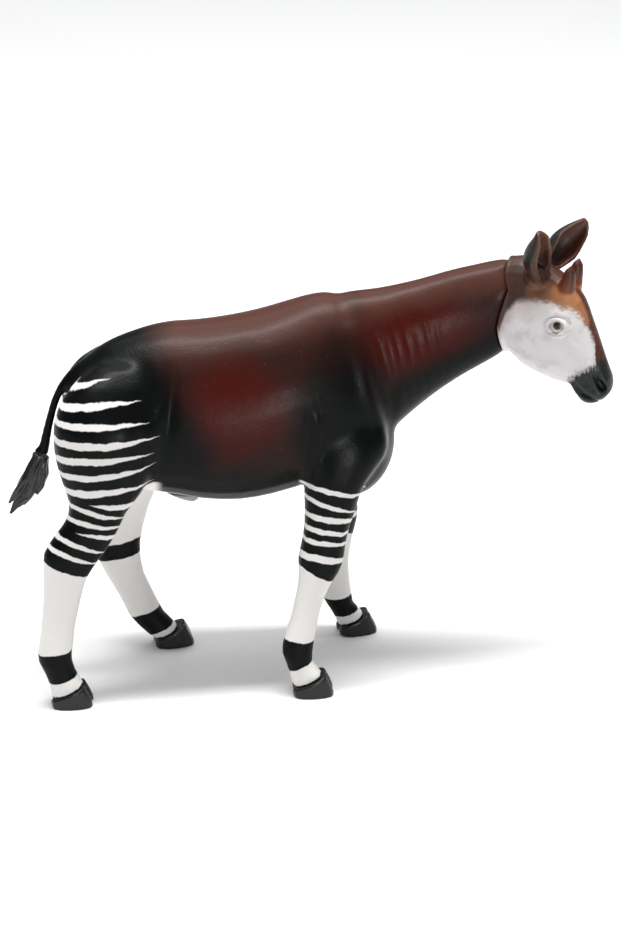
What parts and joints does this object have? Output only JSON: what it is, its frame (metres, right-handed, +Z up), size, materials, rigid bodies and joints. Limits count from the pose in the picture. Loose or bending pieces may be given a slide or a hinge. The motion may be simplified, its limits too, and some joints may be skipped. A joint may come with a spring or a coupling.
{
  "type": "toy okapi figurine",
  "caption": "Painted vinyl toy figurine of an okapi in mid-stride, head turned to its right, with striped legs, upright ears and short blunt horns.",
  "frame": {"origin": "under the middle of the bounding box, on the plane of the four soles", "axes": "+X is the way the animal walks, +Y is its left side, +Z is up"},
  "size_m": [0.1424, 0.0406, 0.1144],
  "materials": {
    "coat_black": "satin black airbrushed paint",
    "coat_oxblood": "satin oxblood brown airbrushed paint, blended into black",
    "leg_white": "off-white brushed paint with hand-painted black rings",
    "face_white": "airbrushed white paint, dark on the muzzle and brown on the crown",
    "horn_brown": "satin brown paint",
    "ear_brown": "satin brown paint with dark edges",
    "eye_paint": "cream paint with a dark pupil, gloss",
    "hoof_black": "gloss black paint"
  },
  "bodies": {
    "root": {"torso": "coat_oxblood", "neck": "coat_oxblood", "head": "face_white", "eye_right": "eye_paint", "eye_left": "eye_paint", "ear_right": "ear_brown", "ear_left": "ear_brown", "ossicone_right": "horn_brown", "ossicone_left": "horn_brown", "tail": "coat_black", "tail_tuft": "hoof_black", "sheath": "leg_white", "front_right_upper_leg": "coat_black", "front_right_lower_leg": "leg_white", "front_right_hoof": "hoof_black", "front_left_upper_leg": "coat_black", "front_left_lower_leg": "leg_white", "front_left_hoof": "hoof_black", "hind_right_upper_leg": "coat_black", "hind_right_lower_leg": "leg_white", "hind_right_hoof": "hoof_black", "hind_left_upper_leg": "coat_black", "hind_left_lower_leg": "leg_white", "hind_left_hoof": "hoof_black"}
  },
  "joints": []
}
